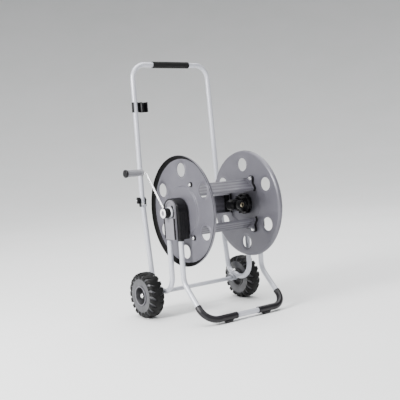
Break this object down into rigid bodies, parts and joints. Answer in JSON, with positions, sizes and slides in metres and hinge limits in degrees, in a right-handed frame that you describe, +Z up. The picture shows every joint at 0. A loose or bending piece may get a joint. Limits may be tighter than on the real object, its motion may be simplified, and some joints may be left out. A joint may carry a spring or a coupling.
{
  "type": "garden hose reel cart",
  "caption": "Two-wheeled tube-frame hose reel cart with a folding handle, a cranked steel drum between round flanges, water fittings and rubber-shod front feet.",
  "frame": {"origin": "centre of the bounding box's underside, on the floor that the wheels and foot pads stand on", "axes": "+Z up; X along the reel's axis with the crank towards -X and the water inlet towards +X; feet towards -Y, wheels and handle towards +Y"},
  "size_m": [0.563, 0.4445, 0.9546],
  "materials": {
    "silver_tube": "silver powder coat on steel tube, satin",
    "grey_sheet": "mid grey paint on pressed steel sheet, satin",
    "grey_plastic": "moulded grey cover, fine grain",
    "black_plastic": "moulded black plastic, semi-gloss",
    "grip_plastic": "moulded grey sleeve, matte",
    "foam": "soft black grip sleeve, matte",
    "foot_rubber": "black sleeve over the frame's corner, semi-gloss",
    "tyre": "moulded black tread with lugs",
    "bright_steel": "bright zinc and nickel plated steel",
    "brass": "turned brass thread insert"
  },
  "bodies": {
    "frame": {"front_leg_tube": "silver_tube", "cross_tube": "silver_tube", "axle_rod": "bright_steel", "side_tube_left": "silver_tube", "foot_left": "foot_rubber", "axle_bracket_left": "silver_tube", "bracket_bolt_left": "bright_steel", "axle_cap_left": "bright_steel", "hub_body_left": "black_plastic", "hub_cover_left": "grey_plastic", "bush_left": "black_plastic", "cover_screw_lower_left": "black_plastic", "cover_screw_upper_left": "black_plastic", "joint_fork_left": "black_plastic", "pivot_bolt_left": "black_plastic", "side_tube_right": "silver_tube", "foot_right": "foot_rubber", "axle_bracket_right": "silver_tube", "bracket_bolt_right": "bright_steel", "axle_cap_right": "bright_steel", "hub_body_right": "black_plastic", "hub_cover_right": "grey_plastic", "bush_right": "black_plastic", "cover_screw_lower_right": "black_plastic", "cover_screw_upper_right": "black_plastic", "joint_fork_right": "black_plastic", "pivot_bolt_right": "black_plastic"},
    "drum": {"flange_left": "grey_sheet", "bar_bolt_upper_left": "bright_steel", "bar_bolt_lower_left": "bright_steel", "bar_bolt_rear_left": "bright_steel", "flange_right": "grey_sheet", "bar_bolt_upper_right": "bright_steel", "bar_bolt_lower_right": "bright_steel", "bar_bolt_rear_right": "bright_steel", "drum_bar_upper": "grey_sheet", "drum_bar_lower": "grey_sheet", "drum_bar_rear": "grey_sheet", "drum_hub_left": "black_plastic", "drum_hub_right": "black_plastic", "crank_shaft": "bright_steel", "crank_hub": "black_plastic", "crank_rod": "bright_steel", "crank_cap": "bright_steel", "water_spindle": "black_plastic", "outlet_elbow": "black_plastic", "outlet_collar": "black_plastic", "outlet_insert": "brass"},
    "grip": {"crank_grip": "grip_plastic", "crank_grip_cap": "black_plastic"},
    "handle": {"handle_tube": "silver_tube", "handle_grip": "foam", "nozzle_clip": "black_plastic"},
    "wheel_left": {"tyre_left": "tyre", "rim_left": "black_plastic"},
    "wheel_right": {"tyre_right": "tyre", "rim_right": "black_plastic"},
    "knob_left": {"wing_knob_left": "black_plastic"},
    "knob_right": {"wing_knob_right": "black_plastic"},
    "inlet": {"inlet_elbow": "black_plastic"}
  },
  "joints": [
    {"name": "drum_spin", "type": "hinge", "parent": "frame", "child": "drum", "pos_m": [0.0245, -0.0223, 0.392], "axis": [1, 0, 0], "continuous": true},
    {"name": "crank_grip_spin", "type": "hinge", "parent": "drum", "child": "grip", "pos_m": [-0.193, 0.0927, 0.538], "axis": [1, 0, 0], "continuous": true},
    {"name": "wheel_spin_left", "type": "hinge", "parent": "frame", "child": "wheel_left", "pos_m": [-0.1725, 0.1307, 0.085], "axis": [1, 0, 0], "continuous": true},
    {"name": "wheel_spin_right", "type": "hinge", "parent": "frame", "child": "wheel_right", "pos_m": [0.2215, 0.1307, 0.085], "axis": [1, 0, 0], "continuous": true},
    {"name": "handle_fold", "type": "hinge", "parent": "frame", "child": "handle", "pos_m": [0.0245, 0.1927, 0.431], "axis": [1, 0, 0], "range_deg": [0, 58]},
    {"name": "knob_turn_left", "type": "hinge", "parent": "frame", "child": "knob_left", "pos_m": [-0.1555, 0.1927, 0.431], "axis": [-1, 0, 0], "range_deg": [0, 720]},
    {"name": "knob_turn_right", "type": "hinge", "parent": "frame", "child": "knob_right", "pos_m": [0.2045, 0.1927, 0.431], "axis": [1, 0, 0], "range_deg": [0, 720]},
    {"name": "inlet_swivel", "type": "hinge", "parent": "frame", "child": "inlet", "pos_m": [0.2317, -0.0223, 0.392], "axis": [1, 0, 0], "continuous": true}
  ]
}
